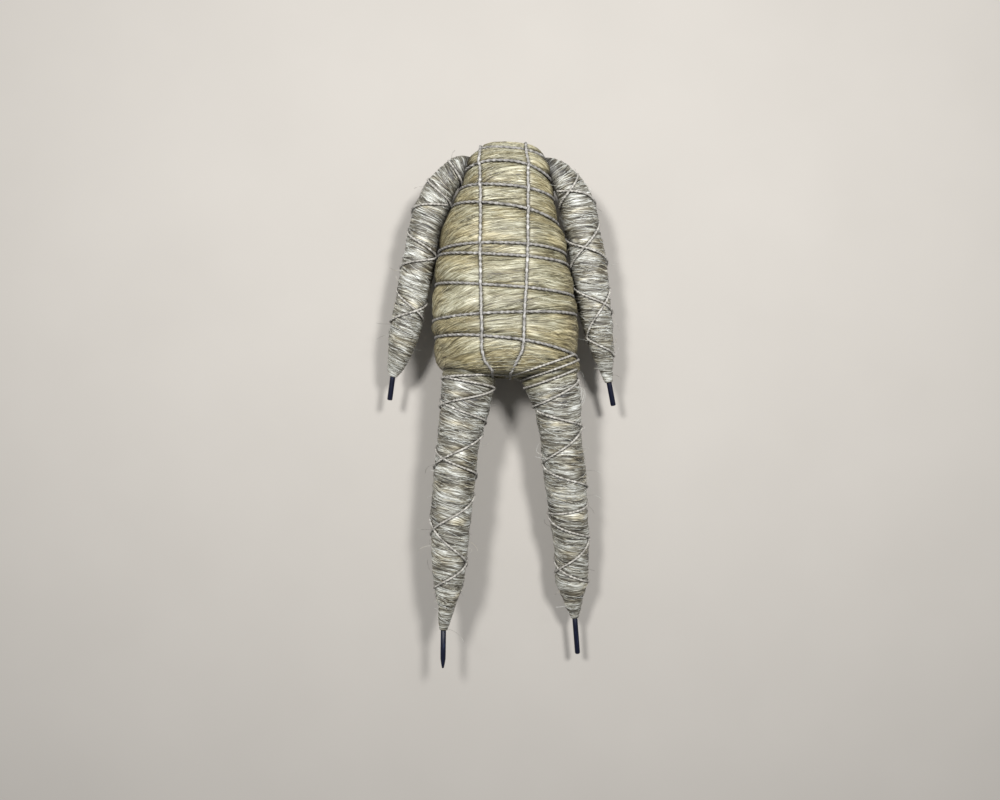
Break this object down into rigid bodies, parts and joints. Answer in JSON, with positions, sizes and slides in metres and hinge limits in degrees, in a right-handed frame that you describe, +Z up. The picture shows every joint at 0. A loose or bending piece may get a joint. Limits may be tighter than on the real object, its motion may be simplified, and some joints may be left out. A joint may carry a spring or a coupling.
{
  "type": "nativity figure body",
  "caption": "Stuffed body of a nativity figure: tow torso, arms and legs over wire, trussed with twine and thread, with bare wire ends for the head, hands and feet",
  "frame": {"origin": "on the table, under the middle of the whole body as it lies on its back", "axes": "+X to the figure's left, +Y to the neck end, +Z up from the back to the belly"},
  "size_m": [0.1226, 0.276, 0.0594],
  "materials": {
    "torso_tow": "straw-coloured combed hemp tow, fine bright and dark streaks",
    "limb_tow": "grey-beige flax tow with a silvery sheen",
    "twine": "grey two-ply linen twine",
    "thread": "pale grey linen thread",
    "coated_wire": "dark navy-blue plastic coat on wire"
  },
  "bodies": {
    "root": {"torso": "torso_tow", "torso_twine": "twine", "right_arm": "limb_tow", "right_arm_thread": "thread", "right_arm_wire": "coated_wire", "left_arm": "limb_tow", "left_arm_thread": "thread", "left_arm_wire": "coated_wire", "right_leg": "limb_tow", "right_leg_thread": "thread", "right_leg_wire": "coated_wire", "left_leg": "limb_tow", "left_leg_thread": "thread", "left_leg_wire": "coated_wire"}
  },
  "joints": []
}
